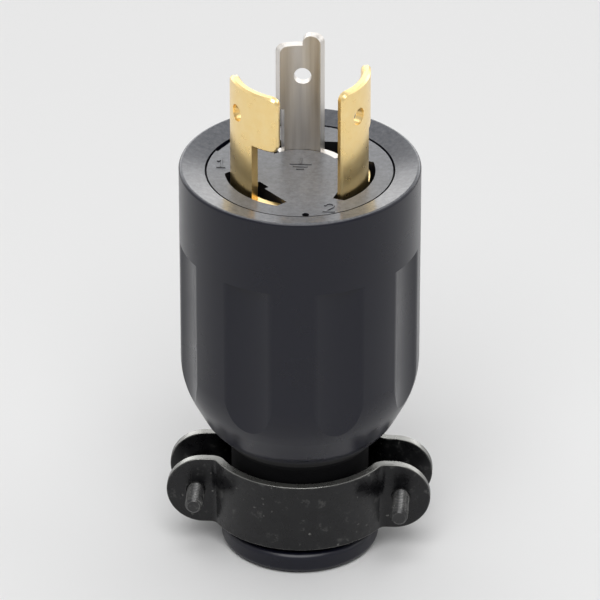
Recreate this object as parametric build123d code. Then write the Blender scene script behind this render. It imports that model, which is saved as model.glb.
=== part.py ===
"""Locking power plug, standing on the end flange of its neck.

Millimetres. +Z runs along the plug to the blade tips and z = 0 is the flange's flat end. The clamp ears lie
along X and the clamp screws point to the front, which is -Y. Angles run anticlockwise from +X, seen from the
blades.
"""
import os
from math import cos, radians, sin, tan

from build123d import *

os.makedirs("parts", exist_ok=True)

# Housing, outside
BODY_R = 20.5
RIM_Z = 73.7
RIM_EDGE = 0.5
BAND_H = 13.8
BAND_Z = RIM_Z - BAND_H
CONE_ANGLE = 27.5
CONE_INSET = 4.05
CONE_Z = 25.0
CONE_EDGE = 6.0
SHOULDER_R = 16.0
NECK_R = 11.9
NECK_FILLET = 1.0
NECK_STEP = 5.0
FLANGE_R = 13.4
FLANGE_T = 3.9
FLANGE_EDGE = 1.0
FLANGE_FOOT_EDGE = 1.2
FLUTES = 8
FLUTE_HALF_ANGLE = 11.5
FLUTE_DEPTH = 1.0
FLUTE_EDGE = 2.0

# Housing, inside
WALL = 4.5
LIP_W = 4.4
LIP_DROP = 1.1
LIP_T = 2.0
SEAT_DEPTH = 1.3
CHAMBER_Z = 37.2
THROAT_Z = 21.2
BORE_R = 7.5
KEY_W = 3.0
KEY_DEPTH = 0.9

# Core: the face carrier in front and the rear block behind it
CORE_GAP = 0.2
DISC_GAP = 0.35
CARRIER_FLANGE_T = 4.0
CARRIER_TOP_GAP = 0.1
FACE_DROP = 0.1
BLOCK_H = 17.8
WEB_T = 3.0
PRY_ANGLE = 150.5
PRY_W = 4.2
PRY_DEPTH = 0.5
GATE_R = 0.6
GATE_ANGLE = 277.0
GATE_EDGE = 0.5
GATE_DEPTH = 0.8

# Blades
BLADE_T = 1.5
BLADE_BEVEL = 0.35
HOLE_R = 1.5
LINE_ANGLES = {"left": 210.0, "right": 330.0}
LINE_HALF = 20.5
LINE_HOOK = 25.0
LINE_NOTCH = 9.2
LINE_H = 19.4
LINE_HOLE_DROP = 5.5
LINE_CORNER = 1.4
LINE_SHOULDER_DROP = 0.9
GROUND_INSET = 3.1
GROUND_ANGLE = 90.0
GROUND_HALF = 25.0
GROUND_HOOK = 6.5
GROUND_SHOULDER = 25.0
GROUND_NOTCH = 8.0
GROUND_H = 19.9
GROUND_CORNER = 1.2
GROUND_HOOK_FLAT = 0.2
FINGER_H = 1.9
FINGER_FLAT = 0.1
GROUND_HOLE_DROP = 5.75
GROUND_SHOULDER_DROP = 0.2
FOOT_H = 1.9
FOOT_LAP = 9.0
FOOT_GAP = 0.15
FOOT_PLAY = 1.0
TAIL_W = 8.0
TAIL_H = 15.5
TAIL_GAP = 0.1

# Face slots
LINE_SLOT_BACK = 2.6
LINE_SLOT_NOTCH_W = 2.4
LINE_SLOT_SIDE = 0.1
LINE_SLOT_FRONT = 0.9
LINE_SLOT_END = 0.6
GROUND_SLOT_BACK = 1.45
GROUND_SLOT_SIDE = 0.2

# Terminals
POCKET_W = 11.4
TERM_R = 2.0
TERM_HEAD_R = 3.5
TERM_HEAD_H = 2.1
TERM_ROOM = 1.05
TERM_TIP_CHAMFER = 0.4
TERM_END = 2.6
TERM_RISE = 5.2
PLATE_W = 8.0
PLATE_T = 1.0
CORE_SCREW_R = 1.5
CORE_HEAD_R = 2.7
CORE_HEAD_H = 2.0
CORE_SINK = 2.6
CORE_TIP_CHAMFER = 0.3
CORE_EDGE = 3.4
CORE_START = 36.0
CORE_SKIN = 1.8
CORE_TIP_GAP = 0.3
THREAD_GAP = 0.05
HOLE_GAP = 0.2
RECESS_W = 0.8
RECESS_DEPTH = 1.1
RECESS_EDGE = 1.4
HEAD_CHAMFER = 0.7

# Cord clamp
STRAP_T = 1.5
STRAP_W = 12.8
STRAP_Z = 11.1
STRAP_R = 15.05
STRAP_SEAT = 0.05
EAR_X = 22.9
EAR_Y = 4.25
EAR_END = 5.1
BEND_R = 1.4
CLAMP_SCREW_R = 1.5
CLAMP_HEAD_R = 2.5
CLAMP_HEAD_H = 2.2
CLAMP_TIP = {"left": 5.4, "right": 7.0}
CLAMP_TIP_CHAMFER = 0.4

# How far cutters go past what they cut
OVER = 1.0
FAR = 60.0

# Heights and radii that follow from the above
CONE_R = BODY_R - CONE_INSET
CHAMBER_R = BODY_R - WALL
LIP_R = BODY_R - LIP_W
LIP_TOP_Z = RIM_Z - LIP_DROP
LIP_Z = LIP_TOP_Z - LIP_T
SEAT_R = CHAMBER_R + SEAT_DEPTH
LEDGE_Z = LIP_Z - CARRIER_FLANGE_T - CARRIER_TOP_GAP
FACE_Z = LIP_TOP_Z - FACE_DROP
BLOCK_Z = LEDGE_Z - BLOCK_H
WEB_Z = LEDGE_Z - WEB_T
BLOCK_R = CHAMBER_R - CORE_GAP
DISC_R = LIP_R - DISC_GAP
CARRIER_R = SEAT_R - CORE_GAP
CORE_POS_R = BLOCK_R - CORE_EDGE
CLAMP_X = EAR_X - EAR_END
LINE_R = CHAMBER_R - TERM_ROOM - TERM_HEAD_H - PLATE_T - BLADE_T
GROUND_R = LINE_R - GROUND_INSET
TAIL_Z = LEDGE_Z - TAIL_H
TERM_Z = TAIL_Z + TERM_RISE


def turned(shape, degrees):
    """Returns the shape turned about the plug's axis."""
    return Rot(0, 0, degrees) * shape


def disc(radius, z0, z1):
    """Returns a plain cylinder on the plug's axis between two heights."""
    return Pos(0, 0, (z0 + z1) / 2) * Cylinder(radius, z1 - z0)


def block(x0, x1, y0, y1, z0, z1):
    """Returns a box given by its limits."""
    middle = Pos((x0 + x1) / 2, (y0 + y1) / 2, (z0 + z1) / 2)
    return middle * Box(x1 - x0, y1 - y0, z1 - z0)


def polar(radius, degrees):
    """Returns the plan point at a radius and an angle."""
    return (radius * cos(radians(degrees)), radius * sin(radians(degrees)))


def sector(r_in, r_out, a0, a1, z0, z1):
    """Returns a piece of ring between two angles and two heights."""
    middle = (a0 + a1) / 2
    outline = [
        ThreePointArc(polar(r_out, a0), polar(r_out, middle), polar(r_out, a1)),
        Line(polar(r_out, a1), polar(r_in, a1)),
        ThreePointArc(polar(r_in, a1), polar(r_in, middle), polar(r_in, a0)),
        Line(polar(r_in, a0), polar(r_out, a0)),
    ]
    return Pos(0, 0, z0) * extrude(make_face(outline), z1 - z0)


def radial_pin(radius, r0, r1, z, degrees):
    """Returns a cylinder along a radius of the plug, between two radii, at a height."""
    pin = Pos((r0 + r1) / 2, 0, z) * Rot(0, 90, 0) * Cylinder(radius, r1 - r0)
    return turned(pin, degrees)


def near_vertex(sketch, r, z):
    """Returns the sketch's corner closest to a point."""
    return sketch.vertices().sort_by_distance((r, z, 0))[0]


def rounded(sketch, corners):
    """Returns the sketch with each listed corner (r, z, radius) rounded."""
    for r, z, radius in corners:
        sketch = fillet(near_vertex(sketch, r, z), radius)
    return sketch


def radial_edges(shape, radius_out, degrees, z):
    """Returns the shape's short edge that runs along a radius, at an angle and height."""
    x, y = polar(radius_out - BLADE_T / 2, degrees)
    return shape.edges().sort_by_distance((x, y, z))[0]


def cross_recess(size, depth, top):
    """Returns the cutter for a cross recess that goes down from a head's top, on Z."""
    bar = block(-size, size, -RECESS_W / 2, RECESS_W / 2, top - depth, top + OVER)
    return bar + turned(bar, 90)


def pan_screw(shank_r, shank_l, head_r, head_h, chamfer_tip):
    """Returns a pan-head screw on Z: the head's underside is at z = 0 and the shank goes down."""
    head = Pos(0, 0, head_h / 2) * Cylinder(head_r, head_h)
    head = chamfer(head.edges().group_by(Axis.Z)[-1], HEAD_CHAMFER)
    shank = Pos(0, 0, -shank_l / 2) * Cylinder(shank_r, shank_l)
    shank = chamfer(shank.edges().group_by(Axis.Z)[0], chamfer_tip)
    return head + shank - cross_recess(head_r - RECESS_EDGE, RECESS_DEPTH, head_h)


def flute_cutter():
    """Returns what the flutes take off the grip, with the edges between ribs and flutes rounded."""
    half_w = BODY_R * sin(radians(FLUTE_HALF_ANGLE))
    sag = FLUTE_DEPTH - BODY_R * (1 - cos(radians(FLUTE_HALF_ANGLE)))
    flute_r = (half_w ** 2 + sag ** 2) / (2 * sag)
    step = 360 / FLUTES
    plan = turned(Circle(BODY_R), step / 2)
    for k in range(FLUTES):
        x, y = polar(BODY_R - FLUTE_DEPTH + flute_r, step * (k + 0.5))
        plan -= Pos(x, y) * Circle(flute_r)
    plan = fillet(plan.vertices(), FLUTE_EDGE)
    return Pos(0, 0, CONE_Z) * extrude(Circle(BODY_R + OVER) - plan, BAND_Z - CONE_Z)


def make_housing():
    """Returns the moulded cap with its flutes, lip, seat, chamber and cable bore."""
    cone_run = BODY_R - CONE_R
    cone_top = CONE_Z + cone_run / tan(radians(CONE_ANGLE))
    neck_top = CONE_Z - NECK_STEP
    outline = Polyline(
        (BORE_R, 0), (FLANGE_R, 0), (FLANGE_R, FLANGE_T), (NECK_R, FLANGE_T), (NECK_R, neck_top),
        (CONE_R, CONE_Z), (BODY_R, cone_top), (BODY_R, RIM_Z), (LIP_R, LIP_TOP_Z), (LIP_R, LIP_Z),
        (SEAT_R, LIP_Z), (SEAT_R, LEDGE_Z), (CHAMBER_R, LEDGE_Z), (CHAMBER_R, CHAMBER_Z), (BORE_R, THROAT_Z),
        close=True)
    section = rounded(make_face(outline), [
        (FLANGE_R, 0, FLANGE_FOOT_EDGE), (FLANGE_R, FLANGE_T, FLANGE_EDGE), (NECK_R, neck_top, NECK_FILLET),
        (CONE_R, CONE_Z, CONE_EDGE), (BODY_R, cone_top, SHOULDER_R), (BODY_R, RIM_Z, RIM_EDGE),
    ])
    shell = revolve(Plane.XZ * section, Axis.Z) - flute_cutter()
    key = block(SEAT_R - KEY_DEPTH, SEAT_R + OVER, -KEY_W / 2, KEY_W / 2, LEDGE_Z, LIP_Z)
    return shell + key + turned(key, 180)


def foot_span(name):
    """Returns the first and last angle of a blade's foot, which the face carrier traps."""
    first, last = base_span(name)
    return first - FOOT_LAP, last + FOOT_LAP


def base_span(name):
    """Returns the first and last angle of a blade's shoulder at the face."""
    if name == "ground":
        return GROUND_ANGLE - GROUND_HALF - GROUND_SHOULDER, GROUND_ANGLE + GROUND_HALF + GROUND_HOOK
    middle = LINE_ANGLES[name]
    return middle - LINE_HALF, middle + LINE_HALF + LINE_HOOK


def shoulder_z(name):
    """Returns the height of a blade's shoulder, which shows in its slot."""
    return FACE_Z - (GROUND_SHOULDER_DROP if name == "ground" else LINE_SHOULDER_DROP)


def blade_r(name):
    """Returns a blade's inner radius."""
    return GROUND_R if name == "ground" else LINE_R


def blade_angle(name):
    """Returns the angle of the middle of a blade's leg."""
    return GROUND_ANGLE if name == "ground" else LINE_ANGLES[name]


def tail_and_foot(name):
    """Returns the part of a blade below the face: its shoulder, trapped foot and flat tail."""
    r_in = blade_r(name)
    r_out = r_in + BLADE_T
    first, last = base_span(name)
    foot_first, foot_last = foot_span(name)
    shape = sector(r_in, r_out, first, last, LEDGE_Z, shoulder_z(name))
    shape += sector(r_in, r_out, foot_first, foot_last, LEDGE_Z, LEDGE_Z + FOOT_H)
    tail = block(r_in, r_out, -TAIL_W / 2, TAIL_W / 2, TAIL_Z, LEDGE_Z)
    shape += turned(tail, blade_angle(name))
    shape -= radial_pin(TERM_R + THREAD_GAP, r_in - OVER, r_out + OVER, TERM_Z, blade_angle(name))
    return shape


def make_line_blade(name):
    """Returns one curved line blade, with its hook to the anticlockwise side."""
    r_in = LINE_R
    r_out = LINE_R + BLADE_T
    middle = LINE_ANGLES[name]
    leg_first = middle - LINE_HALF
    leg_last = middle + LINE_HALF
    hook_last = leg_last + LINE_HOOK
    top = FACE_Z + LINE_H
    hook_z = FACE_Z + LINE_NOTCH
    upper = sector(r_in, r_out, leg_first, leg_last, LEDGE_Z, top)
    upper += sector(r_in, r_out, leg_first, hook_last, hook_z, top)
    corners = [(hook_last, top), (hook_last, hook_z), (leg_first, top)]
    for angle, z in corners:
        upper = fillet(radial_edges(upper, r_out, angle, z), LINE_CORNER)
    rim = upper.edges().filter_by(GeomType.CIRCLE).group_by(Axis.Z)[-1]
    upper = chamfer(rim, BLADE_BEVEL)
    upper -= radial_pin(HOLE_R, r_in - OVER, r_out + OVER, top - LINE_HOLE_DROP, middle)
    return upper + tail_and_foot(name)


def make_ground_blade():
    """Returns the curved ground blade, with its short hook and the finger at its tip."""
    r_in = GROUND_R
    r_out = GROUND_R + BLADE_T
    middle = GROUND_ANGLE
    leg_first = middle - GROUND_HALF
    leg_last = middle + GROUND_HALF
    hook_last = leg_last + GROUND_HOOK
    top = FACE_Z + GROUND_H
    hook_z = FACE_Z + GROUND_NOTCH
    upper = sector(r_in, r_out, leg_first, leg_last, LEDGE_Z, top)
    upper += sector(r_in, r_out, leg_first, hook_last, hook_z, top)
    upper += sector(r_in, r_out, leg_first, middle, hook_z, top + FINGER_H)
    finger_r = min(r_in * radians(GROUND_HALF) / 2, FINGER_H) - FINGER_FLAT
    hook_r = r_in * radians(GROUND_HOOK) - GROUND_HOOK_FLAT
    corners = [
        (hook_last, top, GROUND_CORNER), (hook_last, hook_z, hook_r),
        (leg_first, top + FINGER_H, finger_r), (middle, top + FINGER_H, finger_r),
    ]
    for angle, z, radius in corners:
        upper = fillet(radial_edges(upper, r_out, angle, z), radius)
    upper -= radial_pin(HOLE_R, r_in - OVER, r_out + OVER, top - GROUND_HOLE_DROP, middle)
    return upper + tail_and_foot("ground")


def line_slot(name, z0, z1):
    """Returns the cutter for a line blade's oversize slot, with a notch in its straight inner edge."""
    first, last = base_span(name)
    half_span = radians((last - first) / 2)
    blade_out = LINE_R + BLADE_T
    x0 = LINE_R - LINE_SLOT_BACK
    x1 = LINE_R * cos(half_span) - LINE_SLOT_SIDE
    half_w = blade_out * sin(half_span) + LINE_SLOT_END
    slot = block(x1, FAR, -half_w, half_w, z0, z1)
    slot += block(x0, x1 + OVER, -LINE_SLOT_NOTCH_W / 2, LINE_SLOT_NOTCH_W / 2, z0, z1)
    slot &= disc(blade_out + LINE_SLOT_FRONT, z0, z1)
    return turned(slot, (first + last) / 2)


def ground_slot(z0, z1):
    """Returns the cutter for the ground blade's slot, with a straight back edge."""
    first, last = base_span("ground")
    r_out = GROUND_R + BLADE_T
    x0 = polar(r_out, last)[0] - GROUND_SLOT_SIDE
    x1 = polar(r_out, first)[0] + GROUND_SLOT_SIDE
    y0 = polar(GROUND_R, first)[1] - GROUND_SLOT_SIDE
    slot = block(x0, x1, y0, r_out + GROUND_SLOT_BACK, z0, z1)
    return slot - disc(GROUND_R - GROUND_SLOT_SIDE / 2, z0 - OVER, z1 + OVER)


def core_points():
    """Returns the plan points of the three core screws."""
    return [polar(CORE_POS_R, CORE_START + 120 * k) for k in range(3)]


def make_face_carrier():
    """Returns the front insulator, held under the housing's lip and keyed against turning."""
    shape = disc(DISC_R, LEDGE_Z, FACE_Z) + disc(CARRIER_R, LEDGE_Z, LEDGE_Z + CARRIER_FLANGE_T)
    low = LEDGE_Z - OVER
    high = FACE_Z + OVER
    for name in LINE_ANGLES:
        shape -= line_slot(name, low, high)
    shape -= ground_slot(low, high)
    for name in ("left", "right", "ground"):
        first, last = foot_span(name)
        r_in = blade_r(name) - FOOT_GAP
        r_out = blade_r(name) + BLADE_T + FOOT_GAP
        foot_top = LEDGE_Z + FOOT_H + FOOT_GAP
        shape -= sector(r_in, r_out, first - FOOT_PLAY, last + FOOT_PLAY, low, foot_top)
    for x, y in core_points():
        shape -= Pos(x, y, 0) * disc(CORE_SCREW_R + THREAD_GAP, low, FACE_Z - CORE_SKIN)
    key_half_w = KEY_W / 2 + CORE_GAP
    notch = block(SEAT_R - KEY_DEPTH - CORE_GAP, SEAT_R + OVER, -key_half_w, key_half_w, low, LIP_Z)
    shape -= notch
    shape -= turned(notch, 180)
    pry = block(DISC_R - PRY_DEPTH, DISC_R + OVER, -PRY_W / 2, PRY_W / 2, LIP_Z, high)
    shape -= turned(pry, PRY_ANGLE)
    x, y = polar(DISC_R - GATE_EDGE, GATE_ANGLE)
    shape -= Pos(x, y, 0) * disc(GATE_R, FACE_Z - GATE_DEPTH, high)
    return shape


def make_rear_block():
    """Returns the rear insulator with three wire pockets, web slots and screw holes."""
    shape = disc(BLOCK_R, BLOCK_Z, LEDGE_Z)
    for name in ("left", "right", "ground"):
        r_in = blade_r(name)
        angle = blade_angle(name)
        pocket = block(r_in, FAR, -POCKET_W / 2, POCKET_W / 2, BLOCK_Z - OVER, WEB_Z)
        tail_half_w = TAIL_W / 2 + TAIL_GAP
        tail_out = r_in + BLADE_T + TAIL_GAP
        tail = block(r_in - TAIL_GAP, tail_out, -tail_half_w, tail_half_w, WEB_Z - OVER, LEDGE_Z + OVER)
        shape -= turned(pocket + tail, angle)
        shape -= radial_pin(TERM_R + HOLE_GAP, r_in - TERM_END - HOLE_GAP, r_in + OVER, TERM_Z, angle)
    for x, y in core_points():
        shape -= Pos(x, y, 0) * disc(CORE_SCREW_R + HOLE_GAP, BLOCK_Z - OVER, LEDGE_Z + OVER)
        shape -= Pos(x, y, 0) * disc(CORE_HEAD_R + HOLE_GAP, BLOCK_Z - OVER, BLOCK_Z + CORE_SINK)
    return shape


def make_pressure_plate(name):
    """Returns the square plate between a terminal screw's head and the blade's tail."""
    r0 = blade_r(name) + BLADE_T
    plate = block(r0, r0 + PLATE_T, -PLATE_W / 2, PLATE_W / 2, TERM_Z - PLATE_W / 2, TERM_Z + PLATE_W / 2)
    plate -= radial_pin(TERM_R + HOLE_GAP, r0 - OVER, r0 + PLATE_T + OVER, TERM_Z, 0)
    return turned(plate, blade_angle(name))


def make_terminal_screw(name):
    """Returns a terminal screw along a radius, its head outward."""
    under_head = blade_r(name) + BLADE_T + PLATE_T
    length = PLATE_T + BLADE_T + TERM_END
    screw = pan_screw(TERM_R, length, TERM_HEAD_R, TERM_HEAD_H, TERM_TIP_CHAMFER)
    return turned(Pos(under_head, 0, TERM_Z) * Rot(0, 90, 0) * screw, blade_angle(name))


def make_core_screw(point):
    """Returns one screw that goes up from the rear block into the face carrier."""
    under_head = BLOCK_Z + CORE_SINK
    length = FACE_Z - CORE_SKIN - CORE_TIP_GAP - under_head
    screw = pan_screw(CORE_SCREW_R, length, CORE_HEAD_R, CORE_HEAD_H, CORE_TIP_CHAMFER)
    return Pos(point[0], point[1], under_head) * Rot(180, 0, 0) * screw


def make_strap(hole_r):
    """Returns the front strap of the cord clamp, with a hole of the given radius in each ear.

    Its arc is flatter than the neck, so it bears on the neck's front alone.
    """
    r_in = STRAP_R
    r_out = STRAP_R + STRAP_T
    centre_y = STRAP_R - NECK_R - STRAP_SEAT
    ear_in = EAR_Y - STRAP_T / 2
    ear_out = EAR_Y + STRAP_T / 2
    in_x = (r_in ** 2 - (ear_in + centre_y) ** 2) ** 0.5
    out_x = (r_out ** 2 - (ear_out + centre_y) ** 2) ** 0.5
    outline = [
        ThreePointArc((-out_x, -ear_out), (0, centre_y - r_out), (out_x, -ear_out)),
        Line((out_x, -ear_out), (EAR_X, -ear_out)),
        Line((EAR_X, -ear_out), (EAR_X, -ear_in)),
        Line((EAR_X, -ear_in), (in_x, -ear_in)),
        ThreePointArc((in_x, -ear_in), (0, centre_y - r_in), (-in_x, -ear_in)),
        Line((-in_x, -ear_in), (-EAR_X, -ear_in)),
        Line((-EAR_X, -ear_in), (-EAR_X, -ear_out)),
        Line((-EAR_X, -ear_out), (-out_x, -ear_out)),
    ]
    plan = rounded(make_face(outline), [
        (-out_x, -ear_out, BEND_R), (out_x, -ear_out, BEND_R),
        (-in_x, -ear_in, BEND_R + STRAP_T), (in_x, -ear_in, BEND_R + STRAP_T),
    ])
    strap = Pos(0, 0, STRAP_Z - STRAP_W / 2) * extrude(plan, STRAP_W)
    side = Plane.XZ * SlotOverall(2 * EAR_X, STRAP_W)
    strap &= Pos(0, 0, STRAP_Z) * extrude(side, FAR, both=True)
    for x in (-CLAMP_X, CLAMP_X):
        strap -= Pos(x, 0, STRAP_Z) * Rot(90, 0, 0) * Cylinder(hole_r, FAR)
    return strap


def make_clamp_screw(name):
    """Returns a clamp screw along Y: head behind the rear ear, tip to the front."""
    x = -CLAMP_X if name == "left" else CLAMP_X
    under_head = EAR_Y + STRAP_T / 2
    length = 2 * under_head + CLAMP_TIP[name]
    screw = pan_screw(CLAMP_SCREW_R, length, CLAMP_HEAD_R, CLAMP_HEAD_H, CLAMP_TIP_CHAMFER)
    return Pos(x, under_head, STRAP_Z) * Rot(-90, 0, 0) * screw


def build_all():
    """Returns every piece of the plug by its node name."""
    pieces = {
        "housing": make_housing(),
        "face_carrier": make_face_carrier(),
        "rear_block": make_rear_block(),
        "ground_blade": make_ground_blade(),
        "clamp_front_strap": make_strap(CLAMP_SCREW_R + THREAD_GAP),
        "clamp_rear_strap": turned(make_strap(CLAMP_SCREW_R + HOLE_GAP), 180),
    }
    for name in LINE_ANGLES:
        pieces["line_blade_" + name] = make_line_blade(name)
        pieces["clamp_screw_" + name] = make_clamp_screw(name)
    for name in ("left", "right", "ground"):
        pieces["pressure_plate_" + name] = make_pressure_plate(name)
        pieces["terminal_screw_" + name] = make_terminal_screw(name)
    for k, point in enumerate(core_points()):
        pieces["core_screw_" + str(k + 1)] = make_core_screw(point)
    return pieces


for node, shape in build_all().items():
    export_step(shape, "parts/" + node + ".step")
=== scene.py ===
"""Dresses a locking power plug that stands on the end flange of its neck.

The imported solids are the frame. This script gives them their finishes, rounds their cut edges, widens the end flange
a little, cuts the clamp screws' threads, moulds the signs on the face, and sets a pale studio around them. Lengths are
in metres, apart from values whose names end in mm.
"""
from __future__ import annotations

import logging
import math
from dataclasses import dataclass
from enum import Enum

import bmesh
import bpy
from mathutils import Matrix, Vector

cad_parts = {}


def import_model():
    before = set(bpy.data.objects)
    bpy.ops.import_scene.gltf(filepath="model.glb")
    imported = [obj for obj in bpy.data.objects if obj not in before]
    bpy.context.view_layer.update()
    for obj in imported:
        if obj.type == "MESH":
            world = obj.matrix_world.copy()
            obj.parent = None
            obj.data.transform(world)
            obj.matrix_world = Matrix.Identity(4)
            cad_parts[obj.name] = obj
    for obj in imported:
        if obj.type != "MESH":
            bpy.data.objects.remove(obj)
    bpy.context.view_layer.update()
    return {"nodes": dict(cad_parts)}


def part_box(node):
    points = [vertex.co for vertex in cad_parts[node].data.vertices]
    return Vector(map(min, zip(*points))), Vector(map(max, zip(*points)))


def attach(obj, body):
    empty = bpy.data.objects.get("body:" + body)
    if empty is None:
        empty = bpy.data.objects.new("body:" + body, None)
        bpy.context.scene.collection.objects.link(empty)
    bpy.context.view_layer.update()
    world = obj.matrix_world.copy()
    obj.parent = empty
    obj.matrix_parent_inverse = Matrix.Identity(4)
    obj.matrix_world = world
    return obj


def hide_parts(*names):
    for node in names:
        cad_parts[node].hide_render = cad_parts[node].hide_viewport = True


LOG = logging.getLogger("plug")
MM = 0.001
ROOT = "root"

# Where most values of a noise pattern lie.
NOISE_LOW = 0.3
NOISE_HIGH = 0.7

# Sockets of a Mix node that share a name, by their place: the share, two numbers, two colours and both results.
MIX_SHARE = 0
MIX_NUMBERS = (2, 3)
MIX_COLOURS = (6, 7)
MIXED_NUMBER = 0
MIXED_COLOUR = 2

# How an edge is eased: points this near are one, faces this flat are one, and edges this sharp are rounded.
WELD_MM = 0.002
ONE_FACE_DEGREES = 0.3
SHARP_DEGREES = 35.0


def linear(hex_colour: str) -> tuple[float, float, float, float]:
    """Turns an sRGB hex colour into linear RGBA.

    Args:
        hex_colour: Six hex digits after a hash sign.

    Returns:
        The colour's linear red, green and blue, with alpha 1.
    """
    channels = [int(hex_colour[i:i + 2], 16) / 255 for i in (1, 3, 5)]
    return tuple(c / 12.92 if c <= 0.04045 else ((c + 0.055) / 1.055) ** 2.4 for c in channels) + (1.0,)


def add_node(tree: bpy.types.NodeTree, kind: str, inputs: dict | None = None, **settings: object) -> bpy.types.Node:
    """Adds one node with its settings, values and links.

    Args:
        tree: The node tree that takes the node.
        kind: The node's type name.
        inputs: Value, or output socket to link from, for each input, by the input's name or index.
        **settings: Properties of the node itself.

    Returns:
        The new node.
    """
    node = tree.nodes.new(kind)
    for name, value in settings.items():
        setattr(node, name, value)
    for key, value in (inputs or {}).items():
        if isinstance(value, bpy.types.NodeSocket):
            tree.links.new(value, node.inputs[key])
        else:
            node.inputs[key].default_value = value
    return node


def per_metre(size_mm: float) -> float:
    """Returns the texture scale that repeats once in a real size."""
    return 1.0 / (size_mm * MM)


def blend_over(tree: bpy.types.NodeTree, shader: bpy.types.Node, share: bpy.types.NodeSocket, colour: str,
               roughness: float | None = None) -> None:
    """Lays a second colour, and where given a second gloss, over what a shader already has.

    Args:
        tree: The material's nodes.
        shader: The finish's shader, whose colour and roughness are linked.
        share: How much of the second shows at a point.
        colour: The second colour.
        roughness: The second roughness.
    """
    below = shader.inputs["Base Color"].links[0].from_socket
    mixed = add_node(tree, "ShaderNodeMix", {
        MIX_SHARE: share, MIX_COLOURS[0]: below, MIX_COLOURS[1]: linear(colour)}, data_type="RGBA")
    tree.links.new(mixed.outputs[MIXED_COLOUR], shader.inputs["Base Color"])
    if roughness is not None:
        gloss = shader.inputs["Roughness"].links[0].from_socket
        dulled = add_node(tree, "ShaderNodeMix", {
            MIX_SHARE: share, MIX_NUMBERS[0]: gloss, MIX_NUMBERS[1]: roughness})
        tree.links.new(dulled.outputs[MIXED_NUMBER], shader.inputs["Roughness"])


class Grain(Enum):
    """How a finish's pattern is stretched."""

    NONE = (1.0, 1.0, 1.0)
    UPRIGHT = (1.0, 1.0, 0.04)


@dataclass(frozen=True)
class Finish:
    """What every finish has: a base colour that drifts, a gloss that drifts, and a fine relief."""

    name: str
    dark: str
    light: str
    roughness: tuple[float, float]
    drift_mm: float
    grain_mm: float
    relief_mm: float
    metallic: float = 0.0
    specular: float = 0.5
    grain: Grain = Grain.NONE

    def material(self) -> bpy.types.Material:
        """Builds the finish's material.

        Returns:
            A node material named for the real one.
        """
        material = bpy.data.materials.new(self.name)
        material.use_nodes = True
        tree = material.node_tree
        tree.nodes.clear()
        place = add_node(tree, "ShaderNodeTexCoord").outputs["Object"]
        run = add_node(tree, "ShaderNodeMapping", {"Vector": place, "Scale": self.grain.value}).outputs["Vector"]
        drift = add_node(tree, "ShaderNodeTexNoise", {
            "Vector": run, "Scale": per_metre(self.drift_mm), "Detail": 3.0}).outputs["Fac"]
        fine = add_node(tree, "ShaderNodeTexNoise", {
            "Vector": run, "Scale": per_metre(self.grain_mm), "Detail": 2.0}).outputs["Fac"]
        colour = add_node(tree, "ShaderNodeMix", {
            MIX_SHARE: drift, MIX_COLOURS[0]: linear(self.dark), MIX_COLOURS[1]: linear(self.light)},
            data_type="RGBA").outputs[MIXED_COLOUR]
        gloss = add_node(tree, "ShaderNodeMapRange", {
            "Value": drift, "From Min": NOISE_LOW, "From Max": NOISE_HIGH,
            "To Min": self.roughness[0], "To Max": self.roughness[1]}).outputs["Result"]
        relief = self.relief(tree, place, fine)
        shader = add_node(tree, "ShaderNodeBsdfPrincipled", {
            "Base Color": colour, "Metallic": self.metallic, "Roughness": gloss,
            "Specular IOR Level": self.specular, "Normal": relief})
        self.extra(tree, place, shader)
        add_node(tree, "ShaderNodeOutputMaterial", {"Surface": shader.outputs["BSDF"]})
        return material

    def relief(self, tree: bpy.types.NodeTree, place: bpy.types.NodeSocket,
               fine: bpy.types.NodeSocket) -> bpy.types.NodeSocket:
        """Adds the finish's fine relief.

        Args:
            tree: The material's nodes.
            place: Where a point is on the object; not used here.
            fine: The fine pattern, from 0 to 1.

        Returns:
            The normal that carries the relief.
        """
        bump = add_node(tree, "ShaderNodeBump", {
            "Strength": 1.0, "Distance": self.relief_mm * MM, "Height": fine})
        return bump.outputs["Normal"]

    def extra(self, tree: bpy.types.NodeTree, place: bpy.types.NodeSocket, shader: bpy.types.Node) -> None:
        """Adds what only this finish has."""


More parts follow.
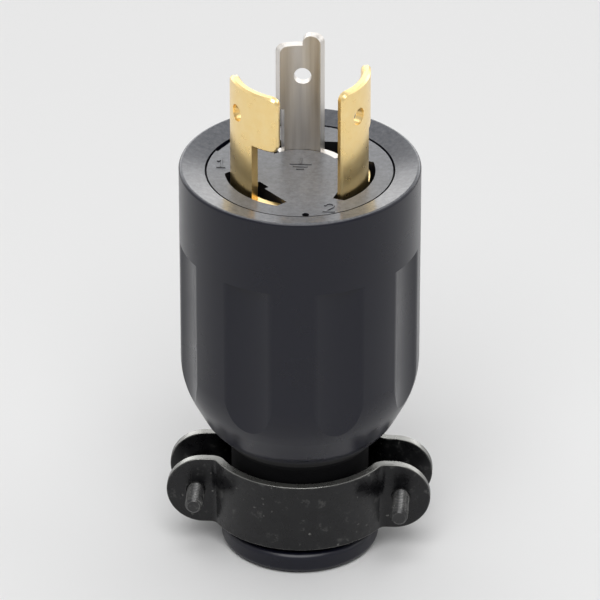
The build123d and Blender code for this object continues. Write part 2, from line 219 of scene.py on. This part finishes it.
@dataclass(frozen=True)
class PaintedSheen(Finish):
    """A dark plastic with a painted sheen: a mottled grey laid on the faces that look up, above a height, for the
    broad reflection of the light above.
    """

    haze: str = "#6e7075"
    haze_roughness: float = 0.17
    haze_from_mm: float = 0.0
    haze_least: float = 0.55
    haze_rise: tuple[float, float] = (0.7, 0.98)
    mottle_mm: float = 0.8

    def extra(self, tree: bpy.types.NodeTree, place: bpy.types.NodeSocket, shader: bpy.types.Node) -> None:
        """Adds the haze, which is a painted sheen.

        Args:
            tree: The material's nodes.
            place: Where a point is on the object.
            shader: The finish's shader.
        """
        facing = add_node(tree, "ShaderNodeNewGeometry").outputs["Normal"]
        rise = add_node(tree, "ShaderNodeSeparateXYZ", {"Vector": facing}).outputs["Z"]
        level = add_node(tree, "ShaderNodeMapRange", {
            "Value": rise, "From Min": self.haze_rise[0], "From Max": self.haze_rise[1]},
            interpolation_type="SMOOTHSTEP").outputs["Result"]
        height = add_node(tree, "ShaderNodeSeparateXYZ", {"Vector": place}).outputs["Z"]
        high_enough = add_node(tree, "ShaderNodeMath", {
            0: height, 1: self.haze_from_mm * MM}, operation="GREATER_THAN").outputs[0]
        mottle = add_node(tree, "ShaderNodeTexNoise", {
            "Vector": place, "Scale": per_metre(self.mottle_mm), "Detail": 4.0, "Roughness": 0.7}).outputs["Fac"]
        uneven = add_node(tree, "ShaderNodeMapRange", {
            "Value": mottle, "From Min": NOISE_LOW, "From Max": NOISE_HIGH,
            "To Min": self.haze_least}).outputs["Result"]
        lying = add_node(tree, "ShaderNodeMath", {0: level, 1: high_enough}, operation="MULTIPLY").outputs[0]
        painted_sheen = add_node(tree, "ShaderNodeMath", {0: lying, 1: uneven}, operation="MULTIPLY").outputs[0]
        # The mottled grey on up-facing faces is painted sheen, for the broad reflection of the light above.
        blend_over(tree, shader, painted_sheen, self.haze, self.haze_roughness)


@dataclass(frozen=True)
class SoftVinyl(PaintedSheen):
    """Black soft vinyl, moulded in a satin-blasted two-part mould, which leaves a parting line on each side."""

    parting_mm: float = 0.16
    parting_rise_mm: float = 0.05
    # The neck fades to a near-black colour: painted shade for the deep shadow between the clamp and the body.
    neck_top_mm: float = 22.5
    neck_fade_mm: float = 2.5
    neck_foot_mm: float = 4.4
    neck_roughness: float = 0.9
    neck_shade_colour: str = "#020203"

    def relief(self, tree: bpy.types.NodeTree, place: bpy.types.NodeSocket,
               fine: bpy.types.NodeSocket) -> bpy.types.NodeSocket:
        """Adds the blasted grain, and the parting line in the plane of the clamp's ears.

        Args:
            tree: The material's nodes.
            place: Where a point is on the object.
            fine: The fine pattern, from 0 to 1.

        Returns:
            The normal that carries both.
        """
        grain = super().relief(tree, place, fine)
        across = add_node(tree, "ShaderNodeSeparateXYZ", {"Vector": place}).outputs["Y"]
        offset = add_node(tree, "ShaderNodeMath", {0: across}, operation="ABSOLUTE").outputs[0]
        line = add_node(tree, "ShaderNodeMapRange", {
            "Value": offset, "From Min": 0.0, "From Max": self.parting_mm * MM, "To Min": 1.0, "To Max": 0.0},
            interpolation_type="SMOOTHSTEP").outputs["Result"]
        facing = add_node(tree, "ShaderNodeNewGeometry").outputs["Normal"]
        rise = add_node(tree, "ShaderNodeSeparateXYZ", {"Vector": facing}).outputs["Z"]
        level = add_node(tree, "ShaderNodeMath", {0: rise}, operation="ABSOLUTE").outputs[0]
        wall = add_node(tree, "ShaderNodeMath", {0: 1.0, 1: level}, operation="SUBTRACT").outputs[0]
        height = add_node(tree, "ShaderNodeMath", {0: line, 1: wall}, operation="MULTIPLY").outputs[0]
        ridge = add_node(tree, "ShaderNodeBump", {
            "Strength": 1.0, "Distance": self.parting_rise_mm * MM, "Height": height, "Normal": grain})
        return ridge.outputs["Normal"]

    def extra(self, tree: bpy.types.NodeTree, place: bpy.types.NodeSocket, shader: bpy.types.Node) -> None:
        """Adds the haze, and the fade down to the neck: painted shade, near black for the deep shadow between the
        clamp and the body, with a dull gloss.

        Args:
            tree: The material's nodes.
            place: Where a point is on the object.
            shader: The finish's shader.
        """
        super().extra(tree, place, shader)
        height = add_node(tree, "ShaderNodeSeparateXYZ", {"Vector": place}).outputs["Z"]
        below = add_node(tree, "ShaderNodeMapRange", {
            "Value": height, "From Min": self.neck_top_mm * MM,
            "From Max": (self.neck_top_mm + self.neck_fade_mm) * MM, "To Min": 1.0, "To Max": 0.0},
            interpolation_type="SMOOTHSTEP").outputs["Result"]
        above = add_node(tree, "ShaderNodeMath", {
            0: height, 1: self.neck_foot_mm * MM}, operation="GREATER_THAN").outputs[0]
        neck = add_node(tree, "ShaderNodeMath", {0: below, 1: above}, operation="MULTIPLY").outputs[0]
        # Painted shade: the neck darkens to near black.
        blend_over(tree, shader, neck, self.neck_shade_colour, self.neck_roughness)


@dataclass(frozen=True)
class WornBlack(Finish):
    """Steel under a thin black coat: bare where it was sheared or its edges are rubbed, with scuffs and flecks."""

    bare: str = "#c4c4c0"
    edge_mm: float = 0.35
    edge_turn: tuple[float, float] = (0.985, 0.88)
    edge_patches: tuple[float, float] = (0.35, 0.6)
    scuff_mm: float = 2.6
    scuff_range: tuple[float, float] = (0.58, 0.76)
    scuff_share: float = 0.25
    fleck_mm: float = 1.6
    fleck_reach: tuple[float, float] = (0.16, 0.03)
    fleck_from: float = 0.45
    fleck_share: float = 0.0
    sway_mm: float = 0.5
    sway_reach_mm: float = 0.9
    shear_rise: tuple[float, float] = (0.3, 0.75)
    sheared: float = 0.0

    def rubbed(self, tree: bpy.types.NodeTree, place: bpy.types.NodeSocket,
               facing: bpy.types.NodeSocket) -> bpy.types.NodeSocket:
        """Adds the rubbed edges and the scuffs.

        Args:
            tree: The material's nodes.
            place: Where a point is on the object.
            facing: The way that the surface faces there.

        Returns:
            How bare a point is, from 0 to 1.
        """
        soft = add_node(tree, "ShaderNodeBevel", {"Radius": self.edge_mm * MM}, samples=6).outputs["Normal"]
        turn = add_node(tree, "ShaderNodeVectorMath", {0: soft, 1: facing}, operation="DOT_PRODUCT").outputs["Value"]
        edge = add_node(tree, "ShaderNodeMapRange", {
            "Value": turn, "From Min": self.edge_turn[0], "From Max": self.edge_turn[1]}).outputs["Result"]
        rub = add_node(tree, "ShaderNodeTexNoise", {
            "Vector": place, "Scale": per_metre(self.scuff_mm), "Detail": 6.0, "Roughness": 0.7}).outputs["Fac"]
        patchy = add_node(tree, "ShaderNodeMapRange", {
            "Value": rub, "From Min": self.edge_patches[0], "From Max": self.edge_patches[1]}).outputs["Result"]
        edge_wear = add_node(tree, "ShaderNodeMath", {0: edge, 1: patchy}, operation="MULTIPLY").outputs[0]
        scuff = add_node(tree, "ShaderNodeMapRange", {
            "Value": rub, "From Min": self.scuff_range[0], "From Max": self.scuff_range[1],
            "To Max": self.scuff_share}).outputs["Result"]
        return add_node(tree, "ShaderNodeMath", {0: edge_wear, 1: scuff}, operation="MAXIMUM").outputs[0]

    def flecks(self, tree: bpy.types.NodeTree, place: bpy.types.NodeSocket) -> bpy.types.NodeSocket:
        """Adds the flecks, which are chips of uneven outline in some cells of a swayed pattern.

        Args:
            tree: The material's nodes.
            place: Where a point is on the object.

        Returns:
            How bare a point is, from 0 to 1.
        """
        sway = add_node(tree, "ShaderNodeTexNoise", {
            "Vector": place, "Scale": per_metre(self.sway_mm), "Detail": 3.0}).outputs["Color"]
        swayed = add_node(tree, "ShaderNodeVectorMath", {
            0: sway, 1: (self.sway_reach_mm * MM,) * 3, 2: place}, operation="MULTIPLY_ADD").outputs[0]
        cells = add_node(tree, "ShaderNodeTexVoronoi", {
            "Vector": swayed, "Scale": per_metre(self.fleck_mm)}).outputs
        chip = add_node(tree, "ShaderNodeMapRange", {
            "Value": cells["Distance"], "From Min": self.fleck_reach[0], "From Max": self.fleck_reach[1],
            "To Max": self.fleck_share}).outputs["Result"]
        draw = add_node(tree, "ShaderNodeSeparateColor", {"Color": cells["Color"]}).outputs["Red"]
        few = add_node(tree, "ShaderNodeMapRange", {
            "Value": draw, "From Min": self.fleck_from, "From Max": 1.0}).outputs["Result"]
        return add_node(tree, "ShaderNodeMath", {0: chip, 1: few}, operation="MULTIPLY").outputs[0]

    def extra(self, tree: bpy.types.NodeTree, place: bpy.types.NodeSocket, shader: bpy.types.Node) -> None:
        """Adds the rubbed edges, the scuffs, the flecks and the sheared edges, which lie level on a strap.

        Args:
            tree: The material's nodes.
            place: Where a point is on the object.
            shader: The finish's shader.
        """
        facing = add_node(tree, "ShaderNodeNewGeometry").outputs["Normal"]
        rubbed = self.rubbed(tree, place, facing)
        flecks = self.flecks(tree, place)
        marks = add_node(tree, "ShaderNodeMath", {0: rubbed, 1: flecks}, operation="MAXIMUM").outputs[0]
        rise = add_node(tree, "ShaderNodeSeparateXYZ", {"Vector": facing}).outputs["Z"]
        level = add_node(tree, "ShaderNodeMath", {0: rise}, operation="ABSOLUTE").outputs[0]
        shear = add_node(tree, "ShaderNodeMapRange", {
            "Value": level, "From Min": self.shear_rise[0], "From Max": self.shear_rise[1],
            "To Max": self.sheared}).outputs["Result"]
        wear = add_node(tree, "ShaderNodeMath", {0: marks, 1: shear}, operation="MAXIMUM").outputs[0]
        blend_over(tree, shader, wear, self.bare)
        tree.links.new(wear, shader.inputs["Metallic"])


class Palette:
    """The plug's finishes, each made once."""

    def __init__(self) -> None:
        """Makes every material."""
        # Soft vinyl from a satin-blasted mould: a blue-black with broad soft highlights, its rim greyed by a painted
        # sheen that stands in for the broad reflection of the light above. The blasting is finer than can show, and is
        # drawn as grain of 0.22 mm.
        self.vinyl = SoftVinyl(
            "soft_vinyl_black", dark="#0a0b1a", light="#0e0f1e", roughness=(0.26, 0.32), drift_mm=9.0,
            grain_mm=0.22, relief_mm=0.004, specular=0.38, haze_from_mm=60.0).material()
        # The same vinyl on the neck behind the clamp: painted shade, near black for the deep shadow there, with almost
        # no shine.
        self.neck_shade_vinyl = Finish(
            "soft_vinyl_painted_shade_black", dark="#020203", light="#040406", roughness=(0.8, 0.9), drift_mm=9.0,
            grain_mm=0.22, relief_mm=0.004, specular=0.12).material()
        # Phenolic resin, pressed with a filler: a neutral black, duller than the vinyl, its face under a mottled grey
        # painted sheen that stands in for the broad reflection of the light above. The filler is finer than can show,
        # and is drawn as grain of 0.3 mm.
        self.resin = PaintedSheen(
            "phenolic_resin_black", dark="#111115", light="#17171b", roughness=(0.34, 0.42), drift_mm=4.0,
            grain_mm=0.3, relief_mm=0.005, haze="#73757a", haze_roughness=0.30, haze_from_mm=72.0).material()
        # Rolled brass: a pale, warm yellow that mirrors the studio softly, with hardly a mark. The marks of the rolls
        # are finer than can show, and are drawn 0.5 mm wide.
        self.brass = Finish(
            "rolled_brass", dark="#f8d68e", light="#ffe6ac", roughness=(0.27, 0.30), drift_mm=1.6, grain_mm=0.5,
            relief_mm=0.0001, metallic=1.0).material()
        # Brushed brass under nickel plate: a faintly warm white metal, whose brushing draws reflections into upright
        # streaks. The brushing is finer than can show, and its streaks are drawn 0.8 mm wide.
        self.nickel = Finish(
            "nickel_plated_brass", dark="#c0bab3", light="#f2efeb", roughness=(0.36, 0.48), drift_mm=0.8,
            grain_mm=0.12, relief_mm=0.006, metallic=1.0, grain=Grain.UPRIGHT).material()
        # Steel with bright zinc: a cold, light grey with a clear shine, on what lies inside.
        self.zinc = Finish(
            "bright_zinc_steel", dark="#a8aab0", light="#c9ccd0", roughness=(0.25, 0.4), drift_mm=2.0, grain_mm=0.2,
            relief_mm=0.003, metallic=1.0).material()
        # Strip steel, coated black and then sheared: a satin black with bare grey edges, pale scuffs and chips. Most
        # chips are finer than can show, and are drawn about 0.3 mm across.
        self.strap = WornBlack(
            "black_coated_steel", dark="#070709", light="#1c1c1e", roughness=(0.20, 0.38), drift_mm=2.6,
            grain_mm=0.4, relief_mm=0.008, specular=0.36, bare="#a8a8a4", fleck_share=0.6, sheared=0.75).material()
        # Steel with black oxide: a soft grey-black with a low shine, brighter along the crests of the thread.
        self.screw = WornBlack(
            "black_oxide_steel", dark="#161617", light="#2a2a2b", roughness=(0.24, 0.38), drift_mm=1.5, grain_mm=0.4,
            relief_mm=0.004, edge_mm=0.12).material()


def paint(obj: bpy.types.Object, material: bpy.types.Material) -> None:
    """Gives an object one material all over.

    Args:
        obj: A mesh object.
        material: Its new material.
    """
    for slot in obj.material_slots:
        slot.material = material
    if not obj.material_slots:
        obj.data.materials.append(material)


def ease_edges(obj: bpy.types.Object, width_mm: float, segments: int = 2) -> None:
    """Rounds an object's sharp edges with modifiers, over normals taken afresh from its faces.

    Args:
        obj: A mesh object.
        width_mm: How far the rounding reaches from an edge.
        segments: Steps across the rounding.
    """
    stored = obj.data.attributes.get("custom_normal")
    if stored:
        obj.data.attributes.remove(stored)
    obj.data.shade_smooth()
    weld = obj.modifiers.new("weld", "WELD")
    weld.merge_threshold = WELD_MM * MM
    # Slivers of one flat face would fold over at the rounding, so they are joined first.
    flat = obj.modifiers.new("whole_faces", "DECIMATE")
    flat.decimate_type = "DISSOLVE"
    flat.angle_limit = math.radians(ONE_FACE_DEGREES)
    bevel = obj.modifiers.new("eased_edges", "BEVEL")
    bevel.width = width_mm * MM
    bevel.segments = segments
    bevel.limit_method = "ANGLE"
    bevel.angle_limit = math.radians(SHARP_DEGREES)
    bevel.use_clamp_overlap = True
    bevel.harden_normals = True


def link_mesh(name: str, shape: bmesh.types.BMesh, material: bpy.types.Material) -> bpy.types.Object:
    """Turns a finished shape into an object of the scene.

    Args:
        name: The object's name.
        shape: The shape, which is freed.
        material: Its finish.

    Returns:
        The object.
    """
    bmesh.ops.recalc_face_normals(shape, faces=shape.faces)
    mesh = bpy.data.meshes.new(name)
    shape.to_mesh(mesh)
    shape.free()
    mesh.materials.append(material)
    obj = bpy.data.objects.new(name, mesh)
    bpy.context.scene.collection.objects.link(obj)
    return obj


@dataclass
class Cap:
    """The moulded housing, its neck and its end flange."""

    palette: Palette
    nodes: dict[str, bpy.types.Object]
    neck_foot: float = 4.2 * MM
    neck_top: float = 23.0 * MM
    neck_r: float = 13.5 * MM
    flange_top: float = 4.0 * MM
    flange_edge_r: float = 12.3 * MM
    flange_growth: float = 0.3 * MM

    def dress(self) -> None:
        """Gives the housing its finish and the neck a near-black one, which is painted shade, and widens the flange.
        """
        housing = self.nodes["housing"]
        paint(housing, self.palette.vinyl)
        # The neck's faces take a near-black material: painted shade for the deep shadow between the clamp and the
        # body.
        housing.data.materials.append(self.palette.neck_shade_vinyl)
        for face in housing.data.polygons:
            x, y, z = face.center
            if self.neck_foot < z < self.neck_top and math.hypot(x, y) < self.neck_r:
                face.material_index = len(housing.data.materials) - 1
        self.widen_flange(housing)

    def widen_flange(self, housing: bpy.types.Object) -> None:
        """Widens the end flange and its roundings a little, with a modifier.

        Args:
            housing: The housing, whose own points stay where they are.
        """
        spread = {v.index: math.hypot(v.co.x, v.co.y) for v in housing.data.vertices if v.co.z < self.flange_top}
        wall_r = max(spread.values())
        wide_r = wall_r + self.flange_growth
        group = housing.vertex_groups.new(name="flange")
        for index, r in spread.items():
            if r > self.flange_edge_r:
                shift = self.flange_growth * (r - self.flange_edge_r) / (wall_r - self.flange_edge_r)
                group.add([index], shift / (wide_r - r), "REPLACE")
        cast = housing.modifiers.new("wider_flange", "CAST")
        cast.cast_type = "CYLINDER"
        cast.factor = 1.0
        cast.use_radius_as_size = False
        cast.size = wide_r
        cast.radius = 0.0
        cast.vertex_group = group.name


class Sign(Enum):
    """The strokes of a raised sign, each a run of points in a box one unit high about the sign's middle."""

    ONE = (((-0.22, 0.30), (0.0, 0.5), (0.0, -0.5)), ((-0.22, -0.5), (0.22, -0.5)))
    TWO = (((-0.28, 0.26), (-0.2, 0.43), (0.0, 0.5), (0.2, 0.43), (0.28, 0.26), (0.2, 0.04), (-0.28, -0.5),
            (0.3, -0.5)),)
    EARTH = (((0.0, 0.55), (0.0, 0.0)), ((-0.5, 0.0), (0.5, 0.0)), ((-0.32, -0.25), (0.32, -0.25)),
             ((-0.14, -0.5), (0.14, -0.5)))


@dataclass
class RaisedSign:
    """One generic sign that stands up from the face, with bevelled sides."""

    sign: Sign
    place_mm: tuple[float, float]
    height_mm: float
    stroke_mm: float = 0.36
    rise_mm: float = 0.16
    sink_mm: float = 0.05
    bevel_mm: float = 0.07
    least_mitre: float = 0.4

    def sides(self, run: list[Vector], half: float) -> list[Vector]:
        """Works out the outline of one stroke.

        Args:
            run: The stroke's points.
            half: Half of its width.

        Returns:
            The points along its left side and back along its right.
        """
        left = []
        right = []
        for k, point in enumerate(run):
            before = (point - run[k - 1]).normalized() if k else (run[1] - point).normalized()
            after = (run[k + 1] - point).normalized() if k + 1 < len(run) else before
            along = (before + after).normalized()
            reach = half / max(self.least_mitre, along.dot(before))
            across = Vector((-along.y, along.x)) * reach
            end = along * half * ((k + 1 == len(run)) - (k == 0))
            left.append(point + across + end)
            right.append(point - across + end)
        return left + right[::-1]

    def build(self, face_z: float, material: bpy.types.Material) -> bpy.types.Object:
        """Builds the sign on the face.

        Args:
            face_z: The height of the face.
            material: The face's finish.

        Returns:
            The sign's object, which rides on the part.
        """
        middle = Vector(self.place_mm)
        half = self.stroke_mm / 2
        levels = ((half, -self.sink_mm), (half, self.rise_mm - self.bevel_mm), (half - self.bevel_mm, self.rise_mm))
        shape = bmesh.new()
        for stroke in self.sign.value:
            run = [middle + Vector(p) * self.height_mm for p in stroke]
            rings = [[shape.verts.new((p.x * MM, p.y * MM, face_z + z * MM)) for p in self.sides(run, width)]
                     for width, z in levels]
            count = len(rings[0])
            for low, high in zip(rings, rings[1:]):
                for k in range(count):
                    j = (k + 1) % count
                    shape.faces.new((low[k], low[j], high[j], high[k]))
            for k in range(count // 2 - 1):
                for ring in (rings[0], rings[-1]):
                    shape.faces.new((ring[k], ring[k + 1], ring[count - 2 - k], ring[count - 1 - k]))
        obj = link_mesh("face_sign_" + self.sign.name.lower(), shape, material)
        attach(obj, ROOT)
        return obj


@dataclass
class Core:
    """The insulators in the cap's mouth, the signs on their face and what they carry inside."""

    palette: Palette
    nodes: dict[str, bpy.types.Object]
    insulators: tuple[str, ...] = ("face_carrier", "rear_block")
    inner_prefixes: tuple[str, ...] = ("pressure_plate", "terminal_screw", "core_screw")
    signs: tuple[RaisedSign, ...] = (
        RaisedSign(Sign.ONE, (-13.4, 1.4), 2.6),
        RaisedSign(Sign.TWO, (5.7, -12.6), 2.6),
        RaisedSign(Sign.EARTH, (0.0, 2.0), 3.4),
    )

    def dress(self) -> None:
        """Gives the insulators, terminals and inner screws their finishes, and moulds the signs."""
        for name, obj in self.nodes.items():
            if name in self.insulators:
                paint(obj, self.palette.resin)
            elif name.startswith(self.inner_prefixes):
                paint(obj, self.palette.zinc)
        face_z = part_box("face_carrier")[1].z
        for sign in self.signs:
            sign.build(face_z, self.palette.resin)


@dataclass
class BladeSet:
    """The two line blades and the ground blade."""

    palette: Palette
    nodes: dict[str, bpy.types.Object]
    edge_mm: float = 0.18

    def dress(self) -> None:
        """Gives the blades their finishes and eases their stamped edges."""
        for name, material in (("line_blade_left", self.palette.brass), ("line_blade_right", self.palette.brass),
                               ("ground_blade", self.palette.nickel)):
            paint(self.nodes[name], material)
            ease_edges(self.nodes[name], self.edge_mm)


@dataclass
class ClampScrew:
    """One threaded pan-head screw, its head at the rear, made in the place of its plain solid."""

    node: str
    thread_r: float = 1.5 * MM
    pitch: float = 0.5 * MM
    depth: float = 0.27 * MM
    head_h: float = 2.2 * MM
    head_edge: float = 0.5 * MM
    tip_chamfer: float = 0.4 * MM
    around: int = 40
    rows_per_turn: int = 6
    crown_rows: int = 6
    crown_power: float = 2.6
    recess_depth: float = 0.9 * MM
    recess_half: float = 0.27 * MM
    recess_wall: float = 0.08 * MM
    recess_reach: float = 1.4 * MM
    # Steps of a quarter ring from a bar's middle to its wall, and across the wall, and the sine where two bars meet.
    bar_steps: int = 2
    wall_steps: int = 1
    corner_sine: float = 0.7
    join: float = 0.001 * MM

    def rings(self) -> list[tuple[float, float, bool]]:
        """Works out the screw's rings from its tip to the crown of its head.

        Returns:
            For each ring, its distance behind the tip, its radius, and whether the thread winds through it.
        """
        low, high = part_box(self.node)
        head_r = (high.x - low.x) / 2
        shank_l = high.y - low.y - self.head_h
        rows = round(shank_l / self.pitch * self.rows_per_turn)
        rings = [(0.0, 0.0, False), (0.0, self.thread_r - self.tip_chamfer, False)]
        for k in range(1, rows + 1):
            along = shank_l * k / rows
            rings.append((along, min(self.thread_r, self.thread_r - self.tip_chamfer + along), True))
        rings += [(shank_l, head_r, False), (shank_l + self.head_edge, head_r, False)]
        steps = [k / self.crown_rows for k in range(1, self.crown_rows + 1)]
        floor_r = self.recess_reach - self.recess_wall
        crown = [head_r + (self.recess_reach - head_r) * share for share in steps]
        crown += [floor_r] + [floor_r * (1 - share) for share in steps]
        rise = self.head_h - self.head_edge
        for radius in crown:
            bulge = rise * (1 - (radius / head_r) ** self.crown_power)
            rings.append((shank_l + self.head_edge + bulge, radius, False))
        return rings

    def bearing(self, k: int, radius: float) -> float:
        """Works out the angle of one point of a head ring, so that points stand along the recess's walls.

        Args:
            k: The point's number around the ring.
            radius: The ring's radius.

        Returns:
            The angle from the recess's level bar.
        """
        quarter = self.around // 4
        right = math.pi / 2
        turn, step = divmod(k, quarter)
        foot, top = (math.asin(min(self.corner_sine, half / max(radius, half)))
                     for half in (self.recess_half, self.recess_half + self.recess_wall))
        clear = self.bar_steps + self.wall_steps
        steps = (0, self.bar_steps, clear, quarter - clear, quarter - self.bar_steps, quarter)
        angles = (0.0, foot, top, right - top, right - foot, right)
        part = next(n for n in range(1, len(steps)) if step <= steps[n])
        share = (step - steps[part - 1]) / (steps[part] - steps[part - 1])
        return right * turn + angles[part - 1] + (angles[part] - angles[part - 1]) * share

    def recess(self, across: float, up: float) -> float:
        """Works out how deep the cross recess is at a point of the head.

        Args:
            across: The point's distance from the screw's axis along one bar.
            up: Its distance along the other.

        Returns:
            The depth below the crown.
        """
        depth = 0.0
        for along, aside in ((abs(across), abs(up)), (abs(up), abs(across))):
            inside = min(1.0, max(0.0, 1.0 - (aside - self.recess_half) / self.recess_wall))
            length = min(1.0, max(0.0, (self.recess_reach - along) / self.recess_wall))
            depth = max(depth, self.recess_depth * min(inside, length))
        return depth

    def build(self, material: bpy.types.Material) -> bpy.types.Object:
        """Builds the screw.

        Args:
            material: Its finish.

        Returns:
            The screw's object, which rides on the part and stands for the node.
        """
        low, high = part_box(self.node)
        x = (low.x + high.x) / 2
        z = (low.z + high.z) / 2
        shank_l = high.y - low.y - self.head_h
        crown = shank_l + self.head_edge
        shape = bmesh.new()
        loops = []
        for along, radius, wound in self.rings():
            loop = []
            for k in range(self.around):
                on_head = along >= shank_l and not wound
                angle = self.bearing(k, radius) if on_head else math.tau * k / self.around
                turn = (along / self.pitch - k / self.around) % 1.0
                cut = self.depth * abs(2 * turn - 1) if wound else 0.0
                r = min(radius, self.thread_r - cut) if wound else radius
                across = r * math.cos(angle)
                up = r * math.sin(angle)
                sunk = self.recess(across, up) if along > crown else 0.0
                loop.append(shape.verts.new((x + across, low.y + along - sunk, z + up)))
            loops.append(loop)
        for first, second in zip(loops, loops[1:]):
            for k in range(self.around):
                j = (k + 1) % self.around
                shape.faces.new((first[k], first[j], second[j], second[k]))
        bmesh.ops.remove_doubles(shape, verts=shape.verts, dist=self.join)
        screw = link_mesh(self.node + "_threaded", shape, material)
        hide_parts(self.node)
        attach(screw, ROOT)
        return screw


@dataclass
class CordClamp:
    """The two straps around the neck and the screws that draw them together."""

    palette: Palette
    nodes: dict[str, bpy.types.Object]
    edge_mm: float = 0.22

    def dress(self) -> None:
        """Gives the straps their finish and worn edges, and makes the screws."""
        for name in ("clamp_front_strap", "clamp_rear_strap"):
            paint(self.nodes[name], self.palette.strap)
            ease_edges(self.nodes[name], self.edge_mm)
        for name in ("clamp_screw_left", "clamp_screw_right"):
            ClampScrew(name).build(self.palette.screw)


@dataclass(frozen=True)
class Softbox:
    """One rectangular lamp: its name, centre, width and height, and brightness, where 1 is white."""

    name: str
    place: tuple[float, float, float]
    size: tuple[float, float]
    level: float

    def build(self, target: tuple[float, float, float]) -> None:
        """Builds the lamp.

        Args:
            target: The point that it faces.
        """
        lamp = bpy.data.lights.new(self.name, "AREA")
        lamp.shape = "RECTANGLE"
        lamp.size = self.size[0]
        lamp.size_y = self.size[1]
        lamp.energy = self.level * math.pi * self.size[0] * self.size[1]
        box = bpy.data.objects.new(self.name, lamp)
        box.location = self.place
        box.rotation_euler = (Vector(target) - Vector(self.place)).to_track_quat("-Z", "Y").to_euler()
        bpy.context.scene.collection.objects.link(box)


@dataclass
class Studio:
    """The pale floor, the soft light and the camera."""

    floor_size: float = 8.0
    floor_colour: str = "#e8e8e8"
    fill_level: float = 0.05
    backdrop_level: float = 0.6
    lamp_aim: tuple[float, float, float] = (0.0, 0.0, 0.05)
    lamps: tuple[Softbox, ...] = (
        Softbox("key", (0.0, -0.75, 1.3), (1.1, 1.0), 4.1),
        Softbox("overhead", (0.0, 0.1, 1.6), (1.6, 1.4), 1.45),
        Softbox("back", (0.0, 1.5, 0.55), (4.4, 0.6), 2.4),
        Softbox("left", (-1.5, 0.2, 0.8), (1.4, 0.9), 0.3),
        Softbox("right", (1.5, 0.2, 0.8), (1.4, 0.9), 0.9),
    )
    azimuth: float = 3.5
    elevation: float = 30.5
    distance: float = 1.0
    aim: tuple[float, float, float] = (0.0, 0.0, 0.04706)
    lens_mm: float = 351.0
    sensor_mm: float = 36.0

    def build(self) -> None:
        """Builds the whole studio."""
        self.build_floor()
        self.build_world()
        for lamp in self.lamps:
            lamp.build(self.lamp_aim)
        self.build_camera()

    def build_floor(self) -> None:
        """Builds the floor at the height of the flange's flat end."""
        mesh = bpy.data.meshes.new("floor")
        half = self.floor_size / 2
        corners = [(-half, -half, 0.0), (half, -half, 0.0), (half, half, 0.0), (-half, half, 0.0)]
        mesh.from_pydata(corners, [], [(0, 1, 2, 3)])
        floor = bpy.data.objects.new("floor", mesh)
        bpy.context.scene.collection.objects.link(floor)
        # Matt paper: an even pale grey that shows soft shadows and no shine.
        material = bpy.data.materials.new("matt_paper_floor")
        material.use_nodes = True
        tree = material.node_tree
        tree.nodes.clear()
        shader = add_node(tree, "ShaderNodeBsdfDiffuse", {"Color": linear(self.floor_colour)})
        add_node(tree, "ShaderNodeOutputMaterial", {"Surface": shader.outputs["BSDF"]})
        mesh.materials.append(material)

    def build_world(self) -> None:
        """Builds the pale room, which the camera and glossy faces see, and the little light that it throws back."""
        world = bpy.data.worlds.new("room")
        world.use_nodes = True
        tree = world.node_tree
        tree.nodes.clear()
        path = add_node(tree, "ShaderNodeLightPath").outputs
        mirrored = add_node(tree, "ShaderNodeMath", {
            0: path["Is Glossy Ray"], 1: path["Is Transmission Ray"]}, operation="MAXIMUM").outputs[0]
        seen = add_node(tree, "ShaderNodeMath", {
            0: path["Is Camera Ray"], 1: mirrored}, operation="MAXIMUM").outputs[0]
        level = add_node(tree, "ShaderNodeMapRange", {
            "Value": seen, "To Min": self.fill_level, "To Max": self.backdrop_level}).outputs["Result"]
        background = add_node(tree, "ShaderNodeBackground", {"Color": (1.0, 1.0, 1.0, 1.0), "Strength": level})
        add_node(tree, "ShaderNodeOutputWorld", {"Surface": background.outputs["Background"]})
        bpy.context.scene.world = world

    def build_camera(self) -> None:
        """Builds the camera at the photograph's angle."""
        az = math.radians(self.azimuth)
        el = math.radians(self.elevation)
        out = Vector((math.cos(el) * math.sin(az), -math.cos(el) * math.cos(az), math.sin(el)))
        lens = bpy.data.cameras.new("camera")
        lens.sensor_width = self.sensor_mm
        lens.lens = self.lens_mm
        camera = bpy.data.objects.new("camera", lens)
        camera.location = Vector(self.aim) + out * self.distance
        camera.rotation_euler = (-out).to_track_quat("-Z", "Y").to_euler()
        bpy.context.scene.collection.objects.link(camera)
        bpy.context.scene.camera = camera


def main() -> None:
    """Builds the plug's looks in order."""
    logging.basicConfig(level=logging.INFO, format="%(name)s: %(message)s")
    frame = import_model()
    nodes = frame["nodes"]
    bpy.context.scene.view_settings.view_transform = "Standard"
    palette = Palette()
    for assembly in (Cap, Core, BladeSet, CordClamp):
        assembly(palette, nodes).dress()
        LOG.info("%s dressed", assembly.__name__)
    Studio().build()
    LOG.info("Studio built")


if __name__ == "__main__":
    main()
